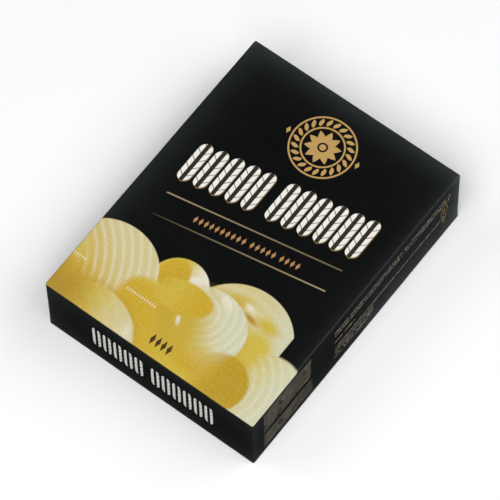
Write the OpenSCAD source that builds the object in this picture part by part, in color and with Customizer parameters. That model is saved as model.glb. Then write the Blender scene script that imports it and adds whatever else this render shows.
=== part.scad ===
// Wrapped butter block: a flat brick of butter, shut in a printed foil wrapper.
// The wrapper is one sheet drawn tight over the top and down the four sides.
// What is left of the sheet is folded flat under the block, in three layers:
// the sheet's own skin, then the long flap that closes the middle seam, and
// last the two tapering end flaps, which the block lies on.
// X runs across the block, Y along it and Z up. The origin is the centre of
// the underside, at the level of the end flaps.

/* [Block] */
// Width across the wrapped block
block_w = 75; // [50:0.5:120]
// Length of the wrapped block
block_l = 100; // [60:0.5:200]
// Height of the wrapped block, with its folds
block_h = 26.4; // [14:0.2:60]
// Radius of the drawn edges and corners
edge_r = 0.6; // [0.4:0.1:4]

/* [Folds underneath] */
// Thickness that one folded layer adds
fold_t = 0.3; // [0.1:0.05:0.6]
// How far the long flap laps past the middle of the block
seam_lap = 8; // [2:0.5:20]
// How far an end flap reaches in from its end of the block
end_flap_l = 22; // [8:0.5:27]
// Width of an end flap at its free edge
end_flap_tip_w = 33; // [12:0.5:46]

/* [Hidden] */
$fn = 48;
SIDES = [-1, 1];

// How far the cutting shapes run past the block
over = 1;
// Half of the block's size, up to where its edges start to round
straight = [for (size = [block_w, block_l, block_h]) size / 2 - edge_r];
// Where the three levels of the underside lie
skin_z = 2 * fold_t;
seam_z = fold_t;

// The axis some steps after another one, with Z followed by X
function next_axis(axis, steps) = (axis + steps) % 3;

// A vector with one length along each of three axes, given from a first axis on
function along(axis, a, b, c) =
    let (lengths = [a, b, c])
    [for (i = [0:2]) lengths[(i - axis + 3) % 3]];

// Turns what stands along Z to lie along an axis
module lay_along(axis) {
    rotate(axis == 0 ? [0, 90, 0] : axis == 1 ? [90, 0, 0] : [0, 0, 0])
        children();
}

// The three slabs that give the block its six flat faces
module flat_faces() {
    for (axis = [0:2])
        cube(2 * (straight + along(axis, edge_r, 0, 0)), center = true);
}

// The twelve rounded edges, four along each axis
module drawn_edges() {
    for (axis = [0:2], side_b = SIDES, side_c = SIDES) {
        b = side_b * straight[next_axis(axis, 1)];
        c = side_c * straight[next_axis(axis, 2)];
        translate(along(axis, 0, b, c))
            lay_along(axis)
                cylinder(r = edge_r, h = 2 * straight[axis], center = true);
    }
}

// The eight rounded corners
module drawn_corners() {
    for (x = SIDES, y = SIDES, z = SIDES)
        translate([x * straight[0], y * straight[1], z * straight[2]])
            sphere(r = edge_r);
}

// The block as it would be with every fold filled in
module drawn_block() {
    translate([0, 0, block_h / 2]) {
        flat_faces();
        drawn_edges();
        drawn_corners();
    }
}

// Outline of the whole underside, and a little past it
module underside_outline() {
    square([block_w + 2 * over, block_l + 2 * over], center = true);
}

// Outline of the long flap, from one long edge to just past the middle
module seam_flap_outline() {
    translate([-seam_lap, -block_l / 2 - 2 * over])
        square([seam_lap + block_w / 2 + 2 * over, block_l + 4 * over]);
}

// Outline of an end flap: as wide as the block at its fold, and tapering
module end_flap_outline(side) {
    fold_y = side * block_l / 2;
    past_y = fold_y + side * 2 * over;
    tip_y = fold_y - side * end_flap_l;
    half_w = block_w / 2;
    half_tip = end_flap_tip_w / 2;
    polygon([
        [-half_w, past_y], [half_w, past_y], [half_w, fold_y],
        [half_tip, tip_y], [-half_tip, tip_y], [-half_w, fold_y],
    ]);
}

// Both end flaps
module end_flaps_outline() {
    for (side = SIDES)
        end_flap_outline(side);
}

// Space under the long flap, beside the end flaps
module space_under_seam_flap() {
    translate([0, 0, -over])
        linear_extrude(over + seam_z)
            difference() {
                underside_outline();
                end_flaps_outline();
            }
}

// Space under the bare skin, beside all the flaps
module space_under_skin() {
    translate([0, 0, -over])
        linear_extrude(over + skin_z)
            difference() {
                underside_outline();
                end_flaps_outline();
                seam_flap_outline();
            }
}

// The wrapped block, with its folds stepped into the underside
module wrapped_block() {
    color([0.05, 0.055, 0.055])
        difference() {
            drawn_block();
            space_under_seam_flap();
            space_under_skin();
        }
}

wrapped_block();
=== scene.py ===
"""Looks of a wrapped butter block: a flat brick of butter in printed black foil.

The wrapper is one sheet, drawn over the top and down the four sides, with its
free edges folded flat underneath. The print is laid out on the flat sheet, in
millimetres from the middle of the top: x runs across the block, y along it,
and both run on over the edges and down the sides.
"""

import logging
import math
from dataclasses import dataclass, field
from enum import Enum
from typing import Any, Callable

import bpy
from mathutils import Matrix, Vector


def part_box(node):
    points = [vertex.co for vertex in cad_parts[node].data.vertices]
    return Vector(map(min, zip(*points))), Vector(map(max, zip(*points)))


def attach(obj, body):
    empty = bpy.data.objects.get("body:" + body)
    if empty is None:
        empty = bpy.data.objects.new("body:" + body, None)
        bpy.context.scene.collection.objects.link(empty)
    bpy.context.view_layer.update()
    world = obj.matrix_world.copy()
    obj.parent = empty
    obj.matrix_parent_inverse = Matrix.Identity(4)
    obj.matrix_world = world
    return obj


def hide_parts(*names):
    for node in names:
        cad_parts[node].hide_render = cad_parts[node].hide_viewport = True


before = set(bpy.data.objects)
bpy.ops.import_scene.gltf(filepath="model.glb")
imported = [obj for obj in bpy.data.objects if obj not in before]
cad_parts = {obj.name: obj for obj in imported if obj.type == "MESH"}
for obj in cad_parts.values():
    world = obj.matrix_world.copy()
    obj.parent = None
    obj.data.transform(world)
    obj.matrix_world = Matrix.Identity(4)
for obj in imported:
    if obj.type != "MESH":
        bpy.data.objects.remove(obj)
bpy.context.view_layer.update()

LOG = logging.getLogger("butter_block")
# A millimetre in metres
MM = 0.001
NODE = "wrapped_block"
# The UV map that is the sheet laid flat
SHEET_MAP = "OFBake"
# How near a cutting plane a point counts as on it, in metres
ON_PLANE = 1e-7

Colour = tuple[float, float, float, float]
Point = tuple[float, float]


def shade(red: int, green: int, blue: int) -> Colour:
    """Turns a colour as a screen shows it, 0 to 255, into a linear one.

    Args:
        red: Red as shown.
        green: Green as shown.
        blue: Blue as shown.

    Returns:
        The linear colour, with full alpha.
    """
    def linear(shown: int) -> float:
        """Gives one channel's linear value."""
        part = shown / 255
        return part / 12.92 if part <= 0.04045 else ((part + 0.055) / 1.055) ** 2.4

    return (linear(red), linear(green), linear(blue), 1.0)


# ---------------------------------------------------------------- shader maths


class Value:
    """A number or colour that varies over a surface, used like a Python number."""

    def __init__(self, tree: "Tree", socket: Any) -> None:
        """Holds a socket of a tree.

        Args:
            tree: The tree that new nodes go into.
            socket: The output socket that gives the number.
        """
        self.tree = tree
        self.socket = socket

    def math(self, operation: str, *others: "Value | float") -> "Value":
        """Adds one Math node.

        Args:
            operation: The node's operation.
            others: Its other inputs, in order.

        Returns:
            The node's result.
        """
        inputs = dict(enumerate((self, *others)))
        return self.tree.node("ShaderNodeMath", {"operation": operation}, inputs)

    def after(self, operation: str, first: float) -> "Value":
        """Adds a Math node whose first input is a plain number and second this value."""
        return self.tree.node("ShaderNodeMath", {"operation": operation}, {0: first, 1: self})

    def __add__(self, other: "Value | float") -> "Value":
        """Adds."""
        return self.math("ADD", other)

    def __radd__(self, other: float) -> "Value":
        """Adds to a plain number."""
        return self.after("ADD", other)

    def __sub__(self, other: "Value | float") -> "Value":
        """Subtracts."""
        return self.math("SUBTRACT", other)

    def __rsub__(self, other: float) -> "Value":
        """Subtracts from a plain number."""
        return self.after("SUBTRACT", other)

    def __mul__(self, other: "Value | float") -> "Value":
        """Multiplies."""
        return self.math("MULTIPLY", other)

    def __rmul__(self, other: float) -> "Value":
        """Multiplies a plain number."""
        return self.after("MULTIPLY", other)

    def __truediv__(self, other: "Value | float") -> "Value":
        """Divides."""
        return self.math("DIVIDE", other)

    def __neg__(self) -> "Value":
        """Turns the sign."""
        return self.after("MULTIPLY", -1.0)

    def __abs__(self) -> "Value":
        """Drops the sign."""
        return self.math("ABSOLUTE")

    def __pow__(self, power: float) -> "Value":
        """Raises to a power."""
        return self.math("POWER", power)

    def rise(self, low: float, high: float) -> "Value":
        """Goes smoothly from 0 at low to 1 at high.

        Args:
            low: Where it leaves 0.
            high: Where it reaches 1.

        Returns:
            The smooth step.
        """
        inputs = {0: self, 1: low, 2: high, 3: 0.0, 4: 1.0}
        return self.tree.node("ShaderNodeMapRange", {"interpolation_type": "SMOOTHSTEP"}, inputs)

    def within(self, half: float, soft: float) -> "Value":
        """Is 1 where the value lies within half of 0, with a soft edge inside it."""
        return (half - abs(self)).rise(0.0, soft)


class Tree:
    """A material's node tree, wired from Python expressions."""

    def __init__(self, material: bpy.types.Material) -> None:
        """Empties a material's tree, to wire it anew.

        Args:
            material: The material to wire.
        """
        material.use_nodes = True
        self.nodes = material.node_tree.nodes
        self.links = material.node_tree.links
        self.nodes.clear()

    def node(
        self,
        kind: str,
        settings: dict[str, Any] | None = None,
        inputs: dict[int | str, Any] | None = None,
        output: int | str = 0,
    ) -> Value:
        """Adds a node, its settings first and then its inputs.

        Args:
            kind: The node's type.
            settings: Its properties, such as a Math node's operation.
            inputs: A value or link for each input, by index or name.
            output: The output to return, by index or name.

        Returns:
            That output, as a value.
        """
        made = self.nodes.new(kind)
        for name, setting in (settings or {}).items():
            setattr(made, name, setting)
        for key, given in (inputs or {}).items():
            if isinstance(given, Value):
                self.links.new(given.socket, made.inputs[key])
            else:
                made.inputs[key].default_value = given
        return Value(self, made.outputs[output]) if made.outputs else Value(self, None)

    def blend(self, share: Value | float, first: Any, second: Any) -> Value:
        """Mixes two colours.

        Args:
            share: 0 for the first, 1 for the second.
            first: A colour, plain or varying.
            second: A colour, plain or varying.

        Returns:
            The mixed colour.
        """
        inputs = {0: share, 6: first, 7: second}
        return self.node("ShaderNodeMix", {"data_type": "RGBA"}, inputs, 2)

    def noise(self, scale: float, detail: float = 2.0, place: Value | None = None) -> Value:
        """Gives soft noise about 0.5.

        Args:
            scale: Blobs to a unit of the place.
            detail: How many finer layers it has.
            place: Where it is read; the object's own metres if not given.

        Returns:
            The noise.
        """
        if place is None:
            place = self.node("ShaderNodeTexCoord", output="Object")
        inputs = {"Vector": place, "Scale": scale, "Detail": detail}
        return self.node("ShaderNodeTexNoise", {}, inputs)

    def surface(self, inputs: dict[str, Any]) -> None:
        """Ends the tree in a Principled surface.

        Args:
            inputs: A value or link for each of its inputs that is set.
        """
        shader = self.node("ShaderNodeBsdfPrincipled", {}, inputs)
        self.node("ShaderNodeOutputMaterial", {}, {"Surface": shader})


@dataclass(frozen=True)
class Spot:
    """A place on the sheet: two varying lengths in millimetres."""

    x: Value
    y: Value

    def moved(self, origin: Point) -> "Spot":
        """Gives the place as seen from another origin."""
        return Spot(self.x - origin[0], self.y - origin[1])

    def slanted(self, slope: float) -> "Spot":
        """Gives the place on a grid whose rows climb by slope to the right."""
        return Spot(self.x, self.y - self.x * slope)

    def turned(self, degrees: float) -> "Spot":
        """Gives the place on a grid that is turned to the left.

        Args:
            degrees: How far the grid is turned.

        Returns:
            The place on that grid.
        """
        if not degrees:
            return self
        cosine, sine = math.cos(math.radians(degrees)), math.sin(math.radians(degrees))
        return Spot(self.x * cosine + self.y * sine, self.y * cosine - self.x * sine)

    def reach(self) -> Value:
        """Gives the distance from the origin."""
        return (self.x * self.x + self.y * self.y) ** 0.5

    def vector(self) -> Value:
        """Joins the two lengths into a vector."""
        return self.x.tree.node("ShaderNodeCombineXYZ", {}, {0: self.x, 1: self.y})


# ------------------------------------------------------------------- finishes


@dataclass(frozen=True)
class Ink:
    """A flat print colour with its gloss."""

    colour: Colour
    roughness: float
    metallic: float = 0.0


BLACK = Ink(shade(6, 7, 7), 0.32)
WHITE = Ink(shade(233, 230, 223), 0.42)
GOLD = Ink(shade(212, 172, 106), 0.38, 0.35)
PALE_GOLD = Ink(shade(174, 155, 122), 0.38, 0.3)
COPPER = Ink(shade(192, 144, 92), 0.4, 0.3)
BRONZE = Ink(shade(140, 116, 74), 0.4, 0.3)
BROWN = Ink(shade(46, 40, 30), 0.4)
DULL_GOLD = Ink(shade(162, 152, 133), 0.45, 0.1)
UMBER = Ink(shade(62, 48, 18), 0.45)

TOASTED = shade(166, 131, 46)
DEEP_BUTTER = shade(180, 146, 34)
GOLDEN_BUTTER = shade(196, 161, 41)
YELLOW_BUTTER = shade(200, 179, 70)
MELLOW_BUTTER = shade(200, 184, 106)
CREAM = shade(203, 192, 142)
PALE_CREAM = shade(202, 203, 174)
WHITE_CREAM = shade(226, 223, 206)

# How far a curl's shade reaches past its edge, as a share of its radii, and how much
# narrower the crests of its ribs are than the grooves
SHADOW_REACH = 0.16
RIB_SHARPNESS = 2.6


@dataclass
class Coat:
    """The print as it builds up: one colour, roughness and metal share."""

    tree: Tree
    colour: Any
    roughness: Any
    metallic: Any

    def lay(self, mask: Value, ink: Ink) -> None:
        """Prints an ink wherever the mask is 1.

        Args:
            mask: Where the ink goes.
            ink: What is printed.
        """
        self.colour = self.tree.blend(mask, self.colour, ink.colour)
        self.roughness = self.roughness + mask * (ink.roughness - self.roughness)
        self.metallic = self.metallic + mask * (ink.metallic - self.metallic)


@dataclass(frozen=True)
class Grain:
    """How butter varies from place to place: broad mottling, and fine specks."""

    mottle: Value
    bright: Value
    dark: Value


@dataclass(frozen=True)
class Light:
    """How a curl's tone goes from deep to pale.

    It grows paler in a direction given in degrees, from its share of pale in the
    curl's middle, by so much over the curl's larger radius.
    """

    towards: float
    share: float
    change: float


@dataclass(frozen=True)
class Ribs:
    """Pale ribs on a curl, in rings about one middle."""

    middle: Point
    pitch: float
    strength: float


@dataclass(frozen=True)
class Fade:
    """A band that a curl comes in across: its direction in degrees, its start and end."""

    direction: float
    start: float
    end: float


@dataclass(frozen=True)
class Curl:
    """One curl of butter in the printed picture: an ellipse, turned by some degrees.

    It may have ribs, stop at a straight right end, cast a shade on what is under it,
    and fade in across a band.
    """

    middle: Point
    radii: Point
    deep: Colour
    pale: Colour
    light: Light
    soft: float = 0.4
    turn: float = 0.0
    ribs: Ribs | None = None
    right_end: float | None = None
    shadow: float = 0.0
    fade: Fade | None = None

    def paint(self, spot: Spot, under: Value, grain: Grain) -> Value:
        """Paints the curl over what is under it.

        Args:
            spot: The place, from the picture's corner.
            under: The colour so far.
            grain: The butter's mottling and specks.

        Returns:
            The new colour.
        """
        tree = spot.x.tree
        local = spot.moved(self.middle).turned(self.turn)
        radius = Spot(local.x / self.radii[0], local.y / self.radii[1]).reach()
        mask = (1 - radius).rise(0.0, self.soft / min(self.radii))
        if self.shadow:
            cast = (1.0 + SHADOW_REACH - radius).rise(0.0, 2 * SHADOW_REACH) * self.shadow
            under = tree.blend(cast, under, TOASTED)
        if self.right_end is not None:
            mask = mask * (self.right_end - spot.x).rise(0.0, self.soft)
        if self.fade is not None:
            band = spot.turned(self.fade.direction).x
            mask = mask * band.rise(self.fade.start, self.fade.end)
        lit = spot.moved(self.middle).turned(self.light.towards).x
        tone = lit * (self.light.change / max(self.radii)) + grain.mottle
        butter = tree.blend((tone + self.light.share).rise(0.0, 1.0), self.deep, self.pale)
        if self.ribs is not None:
            ring = spot.moved(self.ribs.middle).reach() * (math.tau / self.ribs.pitch)
            crest = (ring.math("SINE") * 0.5 + 0.5) ** RIB_SHARPNESS
            butter = tree.blend(crest * self.ribs.strength, butter, WHITE_CREAM)
        butter = tree.blend(grain.bright, butter, CREAM)
        butter = tree.blend(grain.dark, butter, TOASTED)
        return tree.blend(mask, under, butter)


@dataclass(frozen=True)
class CurlPicture:
    """The picture of butter curls that fills the front third of the top.

    Places are in millimetres from the top's front left corner, and the curls are
    painted from the back to the front. The mottle and the specks are each how many
    blobs they have to a millimetre, and how strong they are.
    """

    corner: Point
    mottle: tuple[float, float] = (0.45, 0.34)
    specks: tuple[float, float] = (1.6, 1.2)
    curls: tuple[Curl, ...] = (
        # What shows between the curls
        Curl((37.5, 6.0), (44.0, 17.0), GOLDEN_BUTTER, YELLOW_BUTTER, Light(60.0, 0.25, 0.5)),
        # The large curl at the back right: its pale rim, its lip, mouth and golden hollow
        Curl((53.8, 19.6), (17.2, 16.4), YELLOW_BUTTER, CREAM, Light(60.0, 0.5, 0.6),
             ribs=Ribs((52.0, 8.0), 3.4, 0.2), right_end=67.8),
        Curl((53.8, 19.6), (17.2, 16.4), CREAM, PALE_CREAM, Light(0.0, 0.5, 0.5), right_end=67.8,
             fade=Fade(12.0, 60.0, 69.0)),
        Curl((47.5, 28.6), (7.6, 3.2), GOLDEN_BUTTER, MELLOW_BUTTER, Light(90.0, 0.4, 0.7), soft=2.2,
             turn=34.0),
        Curl((60.4, 18.4), (7.2, 9.2), GOLDEN_BUTTER, YELLOW_BUTTER, Light(80.0, 0.8, 0.3), soft=4.0),
        Curl((59.8, 27.4), (6.4, 3.4), GOLDEN_BUTTER, YELLOW_BUTTER, Light(80.0, 0.6, 0.6), soft=3.0,
             turn=-6.0),
        Curl((52.4, 28.9), (3.4, 1.5), MELLOW_BUTTER, WHITE_CREAM, Light(90.0, 0.6, 0.6), soft=1.2,
             turn=-20.0),
        Curl((54.4, 26.3), (4.2, 1.3), TOASTED, GOLDEN_BUTTER, Light(-60.0, 0.3, 0.5), soft=1.0,
             turn=-14.0),
        # The small curl in the middle, golden inside, with its bright lip
        Curl((31.2, 22.0), (9.4, 9.4), YELLOW_BUTTER, WHITE_CREAM, Light(0.0, 0.32, 1.1)),
        Curl((28.0, 24.6), (5.4, 6.2), GOLDEN_BUTTER, DEEP_BUTTER, Light(-50.0, 0.3, 0.5), soft=1.6,
             turn=-20.0),
        Curl((36.6, 26.0), (4.8, 2.2), CREAM, WHITE_CREAM, Light(100.0, 0.7, 0.7), soft=0.8, turn=-8.0),
        # The broad ribbed shell on the left, with its golden edge and toasted foot
        Curl((10.4, 16.6), (15.6, 13.3), GOLDEN_BUTTER, CREAM, Light(52.0, 0.58, 0.8),
             ribs=Ribs((-16.0, 1.5), 2.6, 0.42)),
        Curl((-2.0, 13.0), (10.0, 12.0), GOLDEN_BUTTER, MELLOW_BUTTER, Light(90.0, 0.5, 0.6), soft=7.0),
        Curl((3.6, 4.6), (18.0, 10.6), TOASTED, GOLDEN_BUTTER, Light(40.0, 0.4, 0.7), soft=8.0),
        Curl((24.2, 14.4), (7.4, 6.4), GOLDEN_BUTTER, YELLOW_BUTTER, Light(60.0, 0.3, 0.6), soft=2.4,
             turn=16.0),
        # The middle curl: its golden body, ribbed crescent, bright tip, tongue and glint
        Curl((36.5, 6.6), (22.4, 15.6), GOLDEN_BUTTER, YELLOW_BUTTER, Light(20.0, 0.4, 0.7), soft=3.4),
        Curl((44.2, 16.6), (13.8, 12.4), YELLOW_BUTTER, PALE_CREAM, Light(34.0, 0.5, 0.7), soft=0.5,
             ribs=Ribs((41.0, 19.6), 2.5, 0.4), shadow=0.22, fade=Fade(26.0, 43.0, 52.0)),
        Curl((49.0, 6.8), (9.0, 6.4), GOLDEN_BUTTER, MELLOW_BUTTER, Light(60.0, 0.4, 0.9), soft=3.6,
             turn=20.0),
        Curl((46.0, 26.2), (3.8, 2.0), CREAM, WHITE_CREAM, Light(60.0, 0.7, 0.5), soft=1.2, turn=-36.0),
        Curl((34.4, 20.3), (10.4, 5.5), YELLOW_BUTTER, GOLDEN_BUTTER, Light(0.0, 0.6, 0.7), soft=0.8,
             turn=8.0, fade=Fade(10.0, 27.0, 36.0)),
        Curl((37.8, 13.6), (1.0, 2.6), MELLOW_BUTTER, WHITE_CREAM, Light(90.0, 0.6, 0.5), soft=0.8,
             turn=26.0),
        # The ribbed curl on the right and the golden bowl before it
        Curl((70.5, 8.0), (13.5, 14.6), YELLOW_BUTTER, PALE_CREAM, Light(-6.0, 0.74, 0.8), soft=1.0,
             ribs=Ribs((57.0, 6.4), 2.6, 0.3), fade=Fade(0.0, 61.0, 67.0)),
        Curl((58.4, 5.0), (9.6, 9.8), GOLDEN_BUTTER, DEEP_BUTTER, Light(0.0, 0.9, 0.9), soft=1.2,
             shadow=0.1, fade=Fade(-10.0, 46.0, 55.0)),
        # The smooth curl at the front left, palest on its right
        Curl((17.0, -3.8), (16.4, 13.6), YELLOW_BUTTER, CREAM, Light(0.0, 0.42, 1.0), soft=0.7,
             turn=-12.0, ribs=Ribs((2.0, -14.0), 3.4, 0.1), shadow=0.5, fade=Fade(15.0, 6.0, 21.0)),
        Curl((26.4, 1.6), (4.2, 6.0), CREAM, WHITE_CREAM, Light(0.0, 0.3, 0.6), soft=2.6, turn=26.0),
    )

    def paint(self, spot: Spot, coat: Coat) -> None:
        """Paints the whole picture.

        Args:
            spot: The place on the sheet.
            coat: The print to add it to.
        """
        tree = coat.tree
        local = spot.moved(self.corner)
        place = local.vector()
        scale, depth = self.mottle
        mottle = (tree.noise(scale, 3.0, place) - 0.5) * depth
        scale, depth = self.specks
        specks = (tree.noise(scale, 2.0, place) - 0.5) * depth
        grain = Grain(mottle, specks, -specks)
        for curl in self.curls:
            coat.colour = curl.paint(local, coat.colour, grain)


class Motif(Enum):
    """What stands in a row of marks."""

    EAR = "ear of wheat"
    LOZENGE = "lozenge"


# The shape of an ear of wheat: how blunt its ends are, the stem's share of its width,
# how many pairs of grains it has, how steeply they lean, and how soft their cuts are
BLUNTNESS = 10.0
STEM_SHARE = 0.27
GRAIN_PAIRS = 5
GRAIN_SLANT = 0.9
CUT_SOFT = 0.1
# How soft the edge of a lozenge is, as a share of its size
LOZENGE_SOFT = 0.3


@dataclass(frozen=True)
class MarkRow:
    """A row of equal upright marks on a line that may climb.

    The marks stand in groups, given by how many each has, with a gap between groups.
    """

    start: Point
    slope: float
    pitch: float
    groups: tuple[int, ...]
    group_gap: float
    half_width: float
    half_height: float
    motif: Motif
    soft: float = 0.16

    def length(self) -> float:
        """Gives how far the row runs."""
        return sum(self.groups) * self.pitch + (len(self.groups) - 1) * self.group_gap

    def masks(self, spot: Spot) -> tuple[Value, Value]:
        """Finds the marks.

        Args:
            spot: The place on the sheet.

        Returns:
            The marks as filled outlines, and the same with their cuts taken out.
        """
        local = spot.moved(self.start).slanted(self.slope)
        run = local.x
        inside = None
        passed = 0.0
        for count in self.groups:
            stretch = count * self.pitch
            middle = passed + stretch / 2
            group = (local.x - middle).within(stretch / 2, self.soft)
            inside = group if inside is None else inside.math("MAXIMUM", group)
            passed += stretch + self.group_gap
            if passed < self.length():
                beyond = local.x.math("GREATER_THAN", passed - self.group_gap / 2)
                run = run - beyond * self.group_gap
        across = ((run / self.pitch).math("FRACT") - 0.5) * self.pitch
        tall = abs(local.y / self.half_height)
        if self.motif is Motif.LOZENGE:
            lozenge = (1 - abs(across / self.half_width) - tall).rise(0.0, LOZENGE_SOFT)
            filled = lozenge * inside
            return filled, filled
        outline = (1 - tall.math("MINIMUM", 1.0) ** BLUNTNESS) * self.half_width - abs(across)
        filled = outline.rise(0.0, self.soft) * inside
        stem = (abs(across) - self.half_width * STEM_SHARE).rise(0.0, self.soft)
        step = 2 * self.half_height / GRAIN_PAIRS
        off_cut = ((abs(across) * GRAIN_SLANT - local.y) / step).math("FRACT") - 0.5
        grains = (0.5 - abs(off_cut)).rise(0.0, CUT_SOFT)
        return filled, filled * stem * grains


@dataclass(frozen=True)
class Title:
    """A row of white wheat ears. A backed one has brown cuts and a thin bronze shade."""

    row: MarkRow
    shade_shift: Point = (0.3, -0.25)
    backed: bool = True

    def paint(self, spot: Spot, coat: Coat) -> None:
        """Prints the row, its backing first.

        Args:
            spot: The place on the sheet.
            coat: The print to add it to.
        """
        filled, cut = self.row.masks(spot)
        if self.backed:
            shadow, _ = self.row.masks(spot.moved(self.shade_shift))
            coat.lay(shadow, BRONZE)
            coat.lay(filled, BROWN)
        coat.lay(cut, WHITE)


@dataclass(frozen=True)
class Medallion:
    """A round gold emblem: a daisy, a wreath between two rings, and two lozenges.

    The leaf sweep is how far the leaves lean over half of their band, in turns, and
    the lozenges' width is given as a share of their height.
    """

    middle: Point
    turn: float = 6.0
    disc: float = 1.1
    petals: int = 10
    petal_foot: Point = (1.5, 1.7)
    petal_reach: float = 5.7
    petal_half_width: float = 1.3
    inner_ring: float = 6.5
    leaves: int = 22
    leaf_half_width: float = 0.78
    leaf_gap: float = 0.45
    leaf_sweep: float = 0.012
    outer_ring: float = 10.0
    line: float = 0.34
    lozenge_off: float = 11.6
    lozenge_half_width: float = 0.75
    lozenge_share: float = 0.55
    soft: float = 0.16

    def spokes(self, angle: Value, radius: Value, count: int) -> Value:
        """Gives the distance from the nearest of some evenly turned spokes.

        Args:
            angle: The place's angle, in turns.
            radius: Its distance from the middle.
            count: How many spokes there are.

        Returns:
            The distance round the circle, in millimetres, with its sign.
        """
        part = (angle * float(count)).math("FRACT") - 0.5
        return part * radius * (math.tau / count)

    def paint(self, spot: Spot, coat: Coat) -> None:
        """Prints the emblem.

        Args:
            spot: The place on the sheet.
            coat: The print to add it to.
        """
        local = spot.moved(self.middle).turned(self.turn)
        radius = local.reach()
        angle = local.y.math("ARCTAN2", local.x) / math.tau + 1.0
        petal = abs(self.spokes(angle, radius, self.petals))
        swell = (radius / self.petal_reach).math("MINIMUM", 1.0) * math.pi
        mask = (swell.math("SINE") * self.petal_half_width - petal).rise(0.0, self.soft)
        mask = mask * radius.rise(*self.petal_foot)
        mask = mask.math("MAXIMUM", radius.within(self.disc, self.soft))
        band = (self.inner_ring + self.outer_ring) / 2
        half_band = (self.outer_ring - self.inner_ring) / 2 - self.leaf_gap
        off_band = (radius - band) / half_band
        leaf = abs(self.spokes(angle + off_band * self.leaf_sweep, radius, self.leaves))
        width = (1 - (off_band * off_band).math("MINIMUM", 1.0)) * self.leaf_half_width
        mask = mask.math("MAXIMUM", (width - leaf).rise(0.0, self.soft))
        for ring in (self.inner_ring, self.outer_ring):
            mask = mask.math("MAXIMUM", (radius - ring).within(self.line, self.soft))
        aside = abs(abs(local.x) - self.lozenge_off) + abs(local.y) * self.lozenge_share
        mask = mask.math("MAXIMUM", (self.lozenge_half_width - aside).rise(0.0, self.soft))
        coat.lay(mask, GOLD)


@dataclass(frozen=True)
class Rule:
    """A thin gold line that climbs to the right, and is stronger at one end."""

    start: Point
    end: Point
    start_strength: float
    end_strength: float
    half_width: float = 0.3
    soft: float = 0.14
    end_soft: float = 0.4

    def paint(self, spot: Spot, coat: Coat) -> None:
        """Prints the line.

        Args:
            spot: The place on the sheet.
            coat: The print to add it to.
        """
        run = self.end[0] - self.start[0]
        slope = (self.end[1] - self.start[1]) / run
        local = spot.moved(self.start).slanted(slope)
        gain = self.end_strength - self.start_strength
        strength = (local.x / run) * gain + self.start_strength
        mask = local.y.within(self.half_width, self.soft)
        mask = mask * (local.x - run / 2).within(run / 2, self.end_soft)
        coat.lay(mask * strength, PALE_GOLD)


@dataclass(frozen=True)
class FinePrint:
    """Blocks of fine dull gold dashes, on one grid of rows, along a long side.

    A block is its left and right ends, in millimetres from the side's left end,
    and its first and last row. Its dashes are noise: the grid is how many blobs come
    to a millimetre along a row and how many to the next row, and the range is where
    they start and are full. The seal is a lozenge in a lozenge: its middle along the
    side and below the top edge, and half its width and height.
    """

    first_row: float = 2.4
    pitch: float = 2.0
    height: float = 1.05
    soft: float = 0.15
    row_soft: float = 0.1
    dash_grid: Point = (2.6, 3.7)
    dash_range: Point = (0.38, 0.6)
    blocks: tuple[tuple[float, float, int, int], ...] = (
        (5.2, 27.6, 0, 5),
        (5.2, 28.2, 7, 10),
        (38.8, 95.0, 1, 2),
        (38.8, 48.5, 4, 4),
        (38.8, 94.0, 6, 6),
        (38.8, 57.8, 7, 9),
    )
    seal: tuple[float, float, float, float] = (92.2, 11.5, 1.9, 8.5)
    seal_rim: Point = (0.82, 0.17)
    seal_core: float = 0.34
    seal_soft: float = 0.08

    def paint(self, run: Value, depth: Value, coat: Coat) -> None:
        """Prints the dashes and the seal.

        Args:
            run: The place along the side.
            depth: How far it is below the top edge.
            coat: The print to add it to.
        """
        below = depth - self.first_row
        row = (below / self.pitch).math("FLOOR")
        line = (below - row * self.pitch - self.height / 2).within(self.height / 2, self.soft)
        spread = Spot(run * self.dash_grid[0], row * self.dash_grid[1])
        noise = coat.tree.noise(1.0, 1.0, spread.vector())
        dashes = noise.rise(*self.dash_range)
        inside = None
        for left, right, first, last in self.blocks:
            across = (run - (left + right) / 2).within((right - left) / 2, self.soft)
            down = (row - (first + last) / 2).within((last - first) / 2 + 0.5, self.row_soft)
            block = across * down
            inside = block if inside is None else inside.math("MAXIMUM", block)
        coat.lay(line * dashes * inside, DULL_GOLD)
        middle, level, half_width, half_height = self.seal
        off = Spot((run - middle) / half_width, (depth - level) / half_height)
        reach = abs(off.x) + abs(off.y)
        rim_reach, half_rim = self.seal_rim
        rim = (reach - rim_reach).within(half_rim, self.seal_soft)
        core = (self.seal_core - reach).rise(0.0, self.seal_soft)
        coat.lay(rim.math("MAXIMUM", core), BRONZE)


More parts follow.
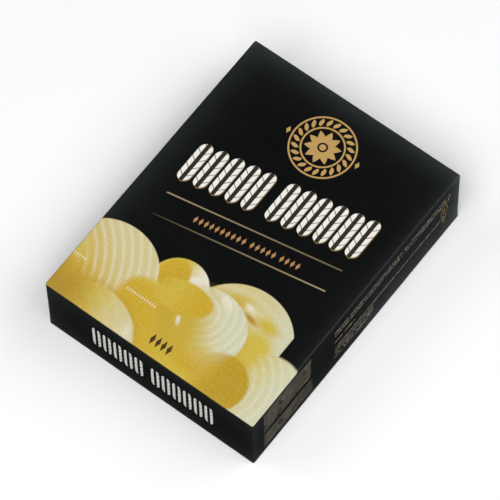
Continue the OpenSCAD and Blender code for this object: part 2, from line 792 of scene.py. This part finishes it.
@dataclass(frozen=True)
class Net:
    """The wrapper laid flat, in millimetres: the top in the middle, a side along each edge."""

    half_width: float
    half_length: float
    height: float
    underside_share: float = 0.24

    @classmethod
    def of_block(cls) -> "Net":
        """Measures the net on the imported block.

        Returns:
            The net, in millimetres.
        """
        low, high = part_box(NODE)
        size = (high - low) / MM
        return cls(size.x / 2, size.y / 2, size.z)

    def place(self, point: Vector, normal: Vector) -> Point:
        """Finds where a point of the wrapped block lies on the flat sheet.

        Args:
            point: The point, in metres.
            normal: Its face's normal, which says which side it belongs to.

        Returns:
            The place on the sheet, in millimetres.
        """
        x, y, z = point / MM
        down = self.height - z
        sides = {
            (x, y): normal.z,
            (x, -self.half_length - down): -normal.y,
            (x, self.half_length + down): normal.y,
            (self.half_width + down, y): normal.x,
            (-self.half_width - down, y): -normal.x,
            self.under(x, y): -normal.z,
        }
        return max(sides, key=sides.get)

    def reach(self) -> Point:
        """Gives half the width and half the length of the sheet that the map covers."""
        return self.half_width + self.height, self.half_length + self.height

    def under(self, x: float, y: float) -> Point:
        """Puts the plain underside, made small, into a corner that the net leaves free.

        Args:
            x: The point's place across the block, in millimetres.
            y: Its place along the block.

        Returns:
            The place on the sheet.
        """
        share = self.underside_share
        return (self.half_width + self.height / 2 + x * share,
                self.half_length + self.height / 2 + y * share)

    def map_onto(self, piece: bpy.types.Object) -> None:
        """Gives a piece the flat sheet as its UV map.

        Args:
            piece: A mesh that is in place.
        """
        mesh = piece.data
        for layer in list(mesh.uv_layers):
            mesh.uv_layers.remove(layer)
        layer = mesh.uv_layers.new(name=SHEET_MAP)
        reach_x, reach_y = self.reach()
        for face in mesh.polygons:
            for corner in face.loop_indices:
                point = mesh.vertices[mesh.loops[corner].vertex_index].co
                x, y = self.place(point, face.normal)
                layer.data[corner].uv = (0.5 + x / reach_x / 2, 0.5 + y / reach_y / 2)

    def spot(self, tree: Tree) -> Spot:
        """Reads the sheet's map back as millimetres, in a material.

        Args:
            tree: The material's tree.

        Returns:
            The place on the sheet.
        """
        uv = tree.node("ShaderNodeUVMap", {"uv_map": SHEET_MAP})
        share_x = tree.node("ShaderNodeSeparateXYZ", {}, {0: uv}, 0)
        share_y = tree.node("ShaderNodeSeparateXYZ", {}, {0: uv}, 1)
        reach_x, reach_y = self.reach()
        return Spot((share_x - 0.5) * (2 * reach_x), (share_y - 0.5) * (2 * reach_y))


@dataclass(frozen=True)
class PaintedSheen:
    """A painted sheen: pale reflection painted into the black print's colour towards the edges.

    Each painted bloom is how strong it is at its edge, and how far in it falls to a third.
    A long side also has an even painted sheen, one at its right end, and a tall one from its
    foot that comes in over a band along the side.
    """

    net: Net
    left: Point = (0.95, 4.4)
    right: Point = (0.5, 2.6)
    back: Point = (1.6, 3.6)
    front: Point = (0.9, 5.0)
    side_foot: Point = (1.1, 4.0)
    end_foot: Point = (1.1, 4.0)
    side_end: Point = (3.0, 3.0)
    side_tall: Point = (2.2, 14.0)
    side_tall_band: Point = (-12.0, 16.0)
    side_even: float = 0.2
    noise_scale: float = 0.2
    noise_depth: float = 0.7
    strength: float = 0.02
    # The pale bluish tint of the painted reflection
    colour: Colour = shade(226, 244, 250)

    def spread(self, tree: Tree, spot: Spot, colour: Colour) -> Value:
        """Adds the painted sheen to a colour.

        Args:
            tree: The material's tree.
            spot: The place on the sheet.
            colour: The print's own black.

        Returns:
            The black with its painted sheen.
        """
        width, length, height = self.net.half_width, self.net.half_length, self.net.height
        along = spot.y * spot.x.math("SIGN")
        on_side = (abs(spot.x) - width).math("GREATER_THAN", 0.0)
        edges = (
            (spot.x + width, self.left),
            (spot.x - width, self.right),
            (spot.y - length, self.back),
            (spot.y + length, self.front),
            (abs(spot.x) - (width + height), self.side_foot),
            (abs(spot.y) - (length + height), self.end_foot),
        )
        amount, reach = self.side_end
        total = ((along - length) * (1 / reach)).math("EXPONENT") * on_side * amount
        amount, reach = self.side_tall
        foot = (abs(spot.x) - (width + height)).math("MINIMUM", 0.0) * (1 / reach)
        band = along.rise(*self.side_tall_band)
        total = total + band * foot.math("EXPONENT") * on_side * amount
        total = total + on_side * self.side_even
        # Each edge adds painted reflection that falls off inwards
        for off, (amount, reach) in edges:
            total = total + (abs(off) * (-1 / reach)).math("EXPONENT") * amount
        noise = tree.noise(self.noise_scale, 2.0, spot.vector())
        noise = noise * self.noise_depth + (1 - self.noise_depth / 2)
        return tree.blend(total * noise * self.strength, colour, self.colour)


@dataclass(frozen=True)
class WrapperPrint:
    """Everything that is printed on the wrapper, placed on the flat sheet."""

    net: Net
    picture_bleed: float = 0.7
    picture_soft: float = 0.2
    medallion: Medallion = Medallion((0.0, 33.0))
    title: Title = Title(MarkRow((-29.3, 6.5), 0.171, 5.12, (5, 6), 2.6, 2.14, 7.3, Motif.EAR))
    rules: tuple[Rule, ...] = (
        Rule((-27.5, -5.7), (28.6, 4.4), 0.95, 0.35),
        Rule((-26.8, -13.6), (28.6, -3.7), 0.05, 1.0),
    )
    motto: MarkRow = MarkRow(
        (-16.1, -7.9), 0.172, 1.72, (10, 5, 4), 0.85, 0.64, 1.45, Motif.LOZENGE
    )
    faint_rows: tuple[MarkRow, ...] = (
        MarkRow((-37.0, -36.8), 0.0, 0.9, (5,), 0.0, 0.34, 0.8, Motif.LOZENGE),
        MarkRow((-18.0, -36.8), 0.0, 0.9, (12,), 0.0, 0.34, 0.8, Motif.LOZENGE),
    )
    faint_strength: float = 0.5
    weight: MarkRow = MarkRow((-2.8, -45.2), 0.0, 1.95, (4,), 0.0, 0.85, 2.3, Motif.LOZENGE)
    end_title: Title = Title(
        MarkRow((-21.2, -63.5), 0.0, 3.86, (5, 6), 2.1, 1.55, 5.85, Motif.EAR), backed=False
    )
    fine_print: FinePrint = FinePrint()

    def paint(self, tree: Tree, black: Ink) -> Coat:
        """Prints the whole wrapper.

        Args:
            tree: The material's tree.
            black: The ink that covers the sheet first.

        Returns:
            The finished print.
        """
        net = self.net
        spot = net.spot(tree)
        # The black ground gets a painted sheen: reflection painted into its colour towards the edges
        ground = PaintedSheen(net).spread(tree, spot, black.colour)
        coat = Coat(tree, ground, black.roughness, black.metallic)
        self.paint_picture(spot, coat)
        self.medallion.paint(spot, coat)
        self.title.paint(spot, coat)
        for rule in self.rules:
            rule.paint(spot, coat)
        coat.lay(self.motto.masks(spot)[1], COPPER)
        for row in self.faint_rows:
            coat.lay(row.masks(spot)[1] * self.faint_strength, WHITE)
        coat.lay(self.weight.masks(spot)[1], UMBER)
        towards_back = spot.y.math("SIGN")
        self.end_title.paint(Spot(spot.x * -towards_back, -abs(spot.y)), coat)
        along = spot.y * spot.x.math("SIGN") + net.half_length
        self.fine_print.paint(along, abs(spot.x) - net.half_width, coat)
        return coat

    def paint_picture(self, spot: Spot, coat: Coat) -> None:
        """Prints the picture of the curls, out to a little past the top's edges.

        Args:
            spot: The place on the sheet.
            coat: The print to add it to.
        """
        net = self.net
        ground = coat.colour
        picture = CurlPicture((-net.half_width, -net.half_length))
        picture.paint(spot, coat)
        soft = self.picture_soft
        across = (net.half_width + self.picture_bleed - abs(spot.x)).rise(0.0, soft)
        down = (spot.y + net.half_length + self.picture_bleed).rise(0.0, soft)
        coat.colour = coat.tree.blend(across * down, ground, coat.colour)


# ------------------------------------------------------------------ materials


@dataclass(frozen=True)
class Foil:
    """Thin laminated foil with a printed film on it: satin, faintly pebbled and creased."""

    specular: float = 0.25
    mottle_scale: float = 140.0
    mottle: float = 0.1
    pebble_scale: float = 1100.0
    pebble: float = 0.012
    wave_scale: float = 70.0
    wave: float = 0.16
    relief: float = 0.001

    def material(self, name: str, coat_of: Callable[[Tree], Coat]) -> bpy.types.Material:
        """Makes a material with this foil's surface.

        Args:
            name: The material's name.
            coat_of: Gives the print, once it has the tree to wire it in.

        Returns:
            The material.
        """
        made = bpy.data.materials.new(name)
        tree = Tree(made)
        coat = coat_of(tree)
        mottle = (tree.noise(self.mottle_scale, 3.0) - 0.5) * self.mottle
        height = tree.noise(self.wave_scale, 2.0) * self.wave
        height = height + tree.noise(self.pebble_scale, 2.0) * self.pebble
        normal = tree.node("ShaderNodeBump", {}, {
            "Strength": 1.0,
            "Distance": self.relief,
            "Height": height,
        })
        tree.surface({
            "Base Color": coat.colour,
            "Roughness": mottle + coat.roughness,
            "Metallic": coat.metallic,
            "Specular IOR Level": self.specular,
            "Normal": normal,
        })
        return made


# The mottling of the plain film: how many blobs to a metre, and how strong they are
FILM_MOTTLE_SCALE = 90.0
FILM_MOTTLE = 0.03
PURE_WHITE = shade(255, 255, 255)


def plain_coat(tree: Tree, ink: Ink) -> Coat:
    """Covers a surface with one ink, faintly mottled.

    Args:
        tree: The material's tree.
        ink: The ink.

    Returns:
        The finished print.
    """
    share = tree.noise(FILM_MOTTLE_SCALE, 3.0) * FILM_MOTTLE
    mottled = tree.blend(share, ink.colour, PURE_WHITE)
    return Coat(tree, mottled, ink.roughness, ink.metallic)


@dataclass(frozen=True)
class FloorFinish:
    """A plain pale matt floor, very slightly uneven in tone."""

    pale: Colour = shade(251, 251, 251)
    dim: Colour = shade(248, 248, 248)
    noise_scale: float = 3.0
    roughness: float = 0.9

    def material(self) -> bpy.types.Material:
        """Makes the floor's material.

        Returns:
            The material.
        """
        made = bpy.data.materials.new("studio_floor")
        tree = Tree(made)
        tree.surface({
            "Base Color": tree.blend(tree.noise(self.noise_scale), self.dim, self.pale),
            "Roughness": self.roughness,
            "Specular IOR Level": 0.0,
        })
        return made


# ------------------------------------------------------------------- modelling


class Work:
    """A mesh on the bench: shaped by edit-mode steps, as by hand."""

    def __init__(self, name: str, low: Vector, high: Vector) -> None:
        """Starts from a box.

        Args:
            name: The piece's name.
            low: The box's lowest corner, in metres.
            high: Its highest corner.
        """
        bpy.ops.object.select_all(action="DESELECT")
        bpy.ops.mesh.primitive_cube_add(size=1.0, location=(low + high) / 2, scale=high - low)
        self.piece = bpy.context.object
        self.piece.name = name
        self.piece.data.name = name
        bpy.ops.object.transform_apply(location=True, rotation=True, scale=True)

    def bevel_all(self, width: float, segments: int) -> None:
        """Rounds every edge.

        Args:
            width: The rounding's radius.
            segments: How many faces go round it.
        """
        self.edit()
        bpy.ops.mesh.bevel(
            offset_type="OFFSET", offset=width, segments=segments, profile=0.5, affect="EDGES"
        )
        self.leave()

    def cut(self, point: Vector, normal: Vector, drop_outer: bool = False) -> None:
        """Cuts the mesh by a plane.

        Args:
            point: A point on the plane.
            normal: The plane's normal.
            drop_outer: Whether what lies on the normal's side is dropped, and the cut closed.
        """
        self.edit()
        bpy.ops.mesh.bisect(
            plane_co=point, plane_no=normal, use_fill=drop_outer, clear_outer=drop_outer,
            threshold=ON_PLANE,
        )
        self.leave()

    def grid(self, axis: int, low: float, high: float, spacing: float) -> None:
        """Cuts the mesh by even planes across an axis, between two lengths along it.

        Args:
            axis: 0, 1 or 2 for X, Y or Z.
            low: Where the stretch that is cut up starts.
            high: Where it ends.
            spacing: About how far apart the planes are.
        """
        steps = round((high - low) / spacing)
        normal = Vector((axis == 0, axis == 1, axis == 2))
        for step in range(1, steps):
            self.cut(normal * (low + (high - low) * step / steps), normal)

    def edit(self) -> None:
        """Enters edit mode with everything selected."""
        bpy.ops.object.mode_set(mode="EDIT")
        bpy.ops.mesh.select_all(action="SELECT")

    def leave(self) -> None:
        """Goes back to object mode."""
        bpy.ops.object.mode_set(mode="OBJECT")

    def weigh(self, name: str, weight_of: Callable[[Vector], float]) -> str:
        """Makes a vertex group with a weight for each place.

        Args:
            name: The group's name.
            weight_of: Gives the weight at a place.

        Returns:
            The group's name.
        """
        group = self.piece.vertex_groups.new(name=name)
        for vertex in self.piece.data.vertices:
            group.add([vertex.index], weight_of(vertex.co), "REPLACE")
        return group.name

    def modify(self, kind: str, **settings: Any) -> None:
        """Adds a modifier and applies it.

        Args:
            kind: The modifier's type.
            settings: Its properties.
        """
        modifier = self.piece.modifiers.new(kind.title(), kind)
        for name, setting in settings.items():
            setattr(modifier, name, setting)
        bpy.ops.object.modifier_apply(modifier=modifier.name)

    def finish(self, smooth_angle: float = 30.0) -> bpy.types.Object:
        """Smooths the shading, and names what the piece rides on and stands for.

        Args:
            smooth_angle: Edges sharper than this many degrees stay sharp.

        Returns:
            The finished piece.
        """
        bpy.ops.object.shade_smooth_by_angle(angle=math.radians(smooth_angle))
        piece = self.piece
        for group in list(piece.vertex_groups):
            piece.vertex_groups.remove(group)
        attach(piece, "root")
        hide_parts("wrapped_block")
        LOG.info("%s: %d faces, on root, for wrapped_block", piece.name, len(piece.data.polygons))
        return piece


@dataclass
class WrappedBlock:
    """The butter block in its wrapper, with its folds underneath.

    Lengths are in metres. The levels of the underside are the end flaps at 0, the
    long flap one fold up, and the wrapper's own skin two folds up. The skin keeps its
    slack inside the block's sides, and so many times its slack under the top, which
    leaves room for its crown. The dent level is the noise that leaves the skin where
    it is, and the dents are full so many edge radii above the folds.
    """

    net: Net
    edge_radius: float = 0.0006
    edge_segments: int = 6
    fold: float = 0.0003
    seam_lap: float = 0.008
    flap_length: float = 0.022
    flap_tip: float = 0.033
    slack: float = 0.0001
    top_slack: float = 1.5
    grid: float = 0.002
    crown: float = 0.0001
    dent: float = 0.00012
    dent_size: float = 0.016
    dent_level: float = 0.55
    dent_rise: float = 5.0
    pieces: list[bpy.types.Object] = field(default_factory=list)

    def __post_init__(self) -> None:
        """Reads the block's box."""
        self.low, self.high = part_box(NODE)

    def drawn(self, name: str, slack: float = 0.0) -> Work:
        """Starts a piece as the whole drawn block, its edges rounded.

        Args:
            name: The piece's name.
            slack: How far the piece keeps inside the block's sides and top.

        Returns:
            The work on it.
        """
        inset = Vector((slack, slack, 0.0))
        high = self.high - inset - Vector((0.0, 0.0, self.top_slack * slack))
        work = Work(name, self.low + inset, high)
        work.bevel_all(self.edge_radius, self.edge_segments)
        return work

    def build(self) -> None:
        """Models the skin, the long flap and the two end flaps."""
        self.build_skin()
        self.build_long_flap()
        for side, name in ((-1, "end_flap_front"), (1, "end_flap_back")):
            self.build_end_flap(side, name)

    def build_skin(self) -> None:
        """Models the skin: tight, faintly crowned and dented, flat where the folds lie."""
        work = self.drawn("wrapper_skin", self.slack)
        work.cut(Vector((0, 0, 2 * self.fold)), Vector((0, 0, -1)), drop_outer=True)
        inner_low = self.low + Vector((1, 1, 1)) * (self.edge_radius + self.slack)
        inner_high = self.high - Vector((1, 1, 1)) * (self.edge_radius + self.slack)
        for axis in range(3):
            work.grid(axis, inner_low[axis], inner_high[axis], self.grid)
        middle = (self.low + self.high) / 2
        half = (self.high - self.low) / 2

        def bulge(point: Vector) -> float:
            """Is 1 in the middle of the top and 0 along its edges and below.

            Args:
                point: A place on the skin.

            Returns:
                How far the crown is raised there, as a share.
            """
            across = 1 - ((point.x - middle.x) / half.x) ** 2
            along = 1 - ((point.y - middle.y) / half.y) ** 2
            return max(0.0, across * along) * (point.z > middle.z)

        def above_folds(point: Vector) -> float:
            """Is 0 on the underside and rises to 1 a few millimetres up."""
            above = point.z - 2 * self.fold
            return min(1.0, max(0.0, above / (self.dent_rise * self.edge_radius)))

        work.modify(
            "DISPLACE", strength=self.crown, mid_level=0.0,
            vertex_group=work.weigh("bulge", bulge),
        )
        clouds = bpy.data.textures.new("dents", "CLOUDS")
        clouds.noise_scale = self.dent_size
        work.modify(
            "DISPLACE", texture=clouds, strength=self.dent, mid_level=self.dent_level,
            texture_coords="LOCAL", vertex_group=work.weigh("above_folds", above_folds),
        )
        piece = work.finish()
        self.net.map_onto(piece)
        self.pieces.append(piece)

    def build_long_flap(self) -> None:
        """Models the flap that closes the middle seam, from one long edge past the middle."""
        work = self.drawn("long_flap")
        work.cut(Vector((0, 0, 2 * self.fold)), Vector((0, 0, 1)), drop_outer=True)
        work.cut(Vector((0, 0, self.fold)), Vector((0, 0, -1)), drop_outer=True)
        work.cut(Vector((-self.seam_lap, 0, 0)), Vector((-1, 0, 0)), drop_outer=True)
        self.pieces.append(work.finish())

    def build_end_flap(self, side: int, name: str) -> None:
        """Models a tapering flap that is folded under from one end.

        Args:
            side: -1 for the front end, 1 for the back end.
            name: The piece's name.
        """
        work = self.drawn(name)
        fold_y = side * self.high.y
        tip_y = fold_y - side * self.flap_length
        work.cut(Vector((0, 0, self.fold)), Vector((0, 0, 1)), drop_outer=True)
        work.cut(Vector((0, tip_y, 0)), Vector((0, -side, 0)), drop_outer=True)
        taper = self.high.x - self.flap_tip / 2
        for hand in (-1, 1):
            corner = Vector((hand * self.high.x, fold_y, 0))
            normal = Vector((hand * self.flap_length, -side * taper, 0))
            work.cut(corner, normal, drop_outer=True)
        self.pieces.append(work.finish())

    def dress(self) -> None:
        """Gives the skin its print and the flaps the plain black film."""
        foil = Foil()
        art = WrapperPrint(self.net)
        printed = foil.material("printed_foil", lambda tree: art.paint(tree, BLACK))
        plain = foil.material("plain_foil", lambda tree: plain_coat(tree, BLACK))
        for piece in self.pieces:
            piece.data.materials.clear()
            piece.data.materials.append(printed if piece.name == "wrapper_skin" else plain)


# ---------------------------------------------------------------------- studio


def outwards(azimuth: float, elevation: float) -> Vector:
    """Gives the direction from the block to where a light or the camera stands.

    Args:
        azimuth: Degrees round from the front to the right.
        elevation: Degrees up.

    Returns:
        The direction, of length 1.
    """
    turn = math.radians(azimuth)
    rise = math.radians(elevation)
    return Vector((
        math.sin(turn) * math.cos(rise), -math.cos(turn) * math.cos(rise), math.sin(rise)
    ))


@dataclass(frozen=True)
class SoftBox:
    """A square studio light, aimed at the block: its place in degrees and metres."""

    name: str
    azimuth: float
    elevation: float
    distance: float
    size: float
    power: float

    def build(self, aim: Vector) -> None:
        """Makes the light.

        Args:
            aim: What it shines on.
        """
        out = outwards(self.azimuth, self.elevation)
        data = bpy.data.lights.new(self.name, "AREA")
        data.size = self.size
        data.energy = self.power
        light = bpy.data.objects.new(self.name, data)
        light.matrix_world = Matrix.Translation(aim + out * self.distance) @ (
            out.to_track_quat("Z", "Y").to_matrix().to_4x4()
        )
        bpy.context.scene.collection.objects.link(light)


@dataclass(frozen=True)
class Viewpoint:
    """Where the camera stands, in degrees and metres, and its lens in millimetres."""

    azimuth: float = 38.727
    elevation: float = 63.734
    roll: float = 1.642
    distance: float = 1.23696
    aim: tuple[float, float, float] = (-0.000832, -0.001107, 0.0132)
    lens: float = 306.18
    clip_end: float = 10.0

    def build(self) -> None:
        """Makes the scene's camera."""
        out = outwards(self.azimuth, self.elevation)
        level = Vector((0, 0, 1)).cross(out).normalized()
        upright = out.cross(level)
        lean = math.radians(self.roll)
        up = upright * math.cos(lean) + level * math.sin(lean)
        right = up.cross(out)
        data = bpy.data.cameras.new("camera")
        data.lens = self.lens
        data.clip_end = self.clip_end
        camera = bpy.data.objects.new("camera", data)
        place = Matrix((right, up, out)).transposed().to_4x4()
        camera.matrix_world = Matrix.Translation(Vector(self.aim) + out * self.distance) @ place
        bpy.context.scene.collection.objects.link(camera)
        bpy.context.scene.camera = camera


@dataclass
class Studio:
    """A plain pale floor, soft lights and the camera."""

    floor_size: float = 4.0
    world_grey: float = 0.04
    lights: tuple[SoftBox, ...] = (
        SoftBox("key_front", 20.0, 58.0, 1.4, 0.9, 12.5),
        SoftBox("fill_right", 100.0, 55.0, 1.4, 0.9, 6.6),
        SoftBox("fill_left", 295.0, 50.0, 1.4, 0.9, 4.6),
        SoftBox("fill_back", 150.0, 45.0, 1.4, 0.9, 4.4),
    )

    def build(self) -> None:
        """Makes the floor, the lights, the world and the camera."""
        bpy.ops.object.select_all(action="DESELECT")
        bpy.ops.mesh.primitive_plane_add(size=self.floor_size)
        floor = bpy.context.object
        floor.name = "studio_floor"
        floor.data.materials.append(FloorFinish().material())
        floor.visible_glossy = False
        low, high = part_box(NODE)
        for light in self.lights:
            light.build((low + high) / 2)
        world = bpy.data.worlds.new("studio")
        world.use_nodes = True
        world.node_tree.nodes["Background"].inputs["Color"].default_value = (
            self.world_grey, self.world_grey, self.world_grey, 1.0
        )
        bpy.context.scene.world = world
        bpy.context.scene.view_settings.view_transform = "Standard"
        Viewpoint().build()
        LOG.info("studio: floor, %d lights and camera", len(self.lights))


def main() -> None:
    """Builds the wrapped block and the studio around it."""
    logging.basicConfig(level=logging.INFO, format="%(name)s: %(message)s")
    block = WrappedBlock(Net.of_block())
    block.build()
    block.dress()
    Studio().build()


if __name__ == "__main__":
    main()
